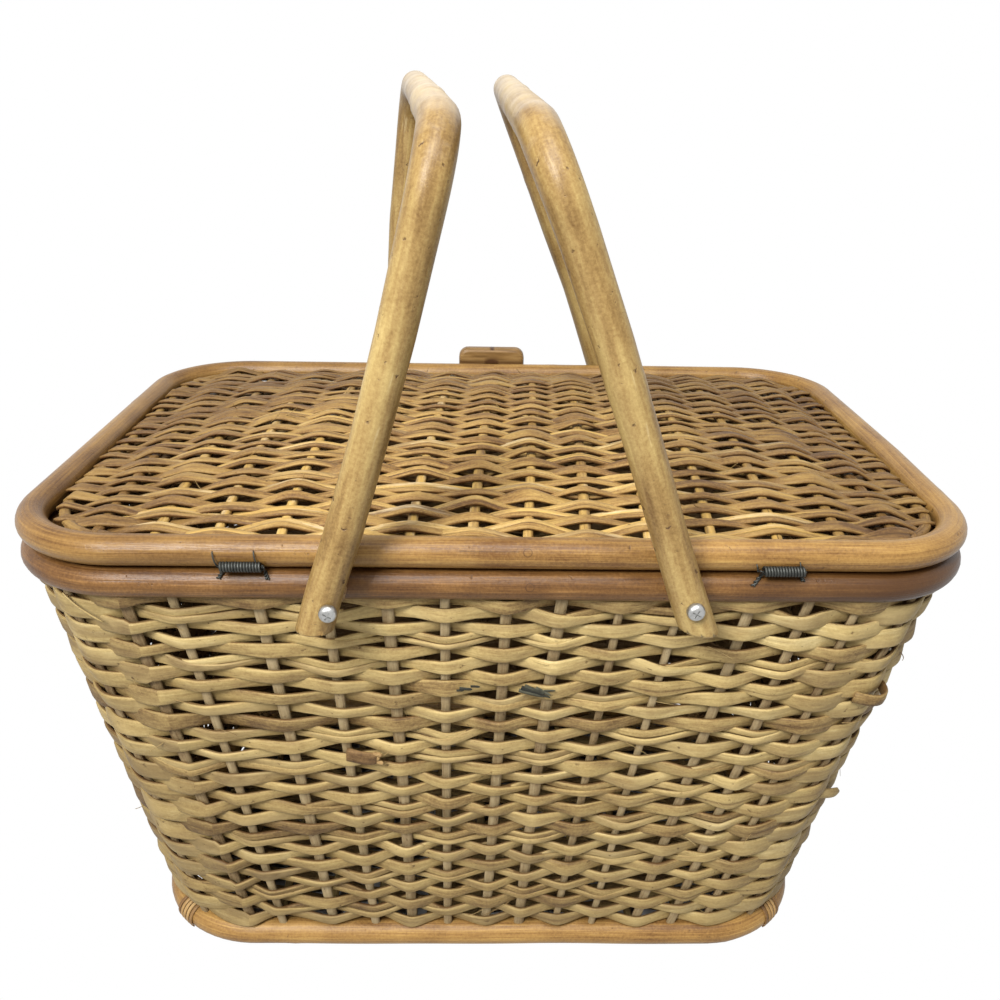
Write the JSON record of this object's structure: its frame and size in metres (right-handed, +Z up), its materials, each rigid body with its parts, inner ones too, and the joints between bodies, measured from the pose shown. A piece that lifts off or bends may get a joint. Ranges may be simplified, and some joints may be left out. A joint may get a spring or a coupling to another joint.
{
  "type": "pie basket",
  "caption": "Rattan pie basket: tapered woven tub, hinged domed woven lid with a lift tab, and bent-pole swing handles bolted through the rim.",
  "frame": {"origin": "on the surface the basket stands on, under the middle of its box", "axes": "+X along the long side towards the right-hand handle, +Y from the hinge side towards the lift tab, +Z up"},
  "size_m": [0.42, 0.3368, 0.4265],
  "materials": {
    "rattan_weave": "matte",
    "rattan_lid_weave": "satin",
    "rattan_lid_rim": "satin",
    "rattan_body_rim": "satin",
    "rattan_handle": "satin",
    "cane_binding": "matte",
    "spacer_wood": "matte",
    "zinc_steel": "satin",
    "dark_steel_wire": "satin"
  },
  "bodies": {
    "basket": {"body_rim": "rattan_body_rim", "woven_wall": "rattan_weave", "base_rim": "rattan_lid_rim", "base_floor": "rattan_weave", "corner_wrap_front_left": "cane_binding", "corner_wrap_front_right": "cane_binding", "corner_wrap_rear_left": "cane_binding", "corner_wrap_rear_right": "cane_binding", "pivot_bolt_front_left": "zinc_steel", "pivot_bolt_front_right": "zinc_steel", "pivot_bolt_rear_left": "zinc_steel", "pivot_bolt_rear_right": "zinc_steel", "pivot_spacer_front_left": "spacer_wood", "pivot_spacer_front_right": "spacer_wood", "pivot_spacer_rear_left": "spacer_wood", "pivot_spacer_rear_right": "spacer_wood", "pivot_washer_front_left": "zinc_steel", "pivot_washer_front_right": "zinc_steel", "pivot_washer_rear_left": "zinc_steel", "pivot_washer_rear_right": "zinc_steel", "pivot_nut_front_left": "zinc_steel", "pivot_nut_front_right": "zinc_steel", "pivot_nut_rear_left": "zinc_steel", "pivot_nut_rear_right": "zinc_steel", "hinge_coil_left": "dark_steel_wire", "hinge_coil_right": "dark_steel_wire", "hinge_lower_wire_left": "dark_steel_wire", "hinge_lower_wire_right": "dark_steel_wire"},
    "lid": {"lid_rim": "rattan_lid_rim", "lid_panel": "rattan_lid_weave", "lid_tab": "rattan_lid_rim", "tab_nail_left": "zinc_steel", "tab_nail_right": "zinc_steel", "hinge_upper_wire_left": "dark_steel_wire", "hinge_upper_wire_right": "dark_steel_wire"},
    "left_handle": {"handle_left": "rattan_handle"},
    "right_handle": {"handle_right": "rattan_handle"}
  },
  "joints": [
    {"name": "lid_hinge", "type": "hinge", "parent": "basket", "child": "lid", "pos_m": [0, -0.14407, 0.23619], "axis": [1, 0, 0], "range_deg": [0, 21]},
    {"name": "left_handle_pivot", "type": "hinge", "parent": "basket", "child": "left_handle", "pos_m": [-0.0664, 0, 0.2295], "axis": [0, -1, 0], "range_deg": [-3, 140]},
    {"name": "right_handle_pivot", "type": "hinge", "parent": "basket", "child": "right_handle", "pos_m": [0.0752, 0, 0.2315], "axis": [0, 1, 0], "range_deg": [-1, 158]}
  ]
}
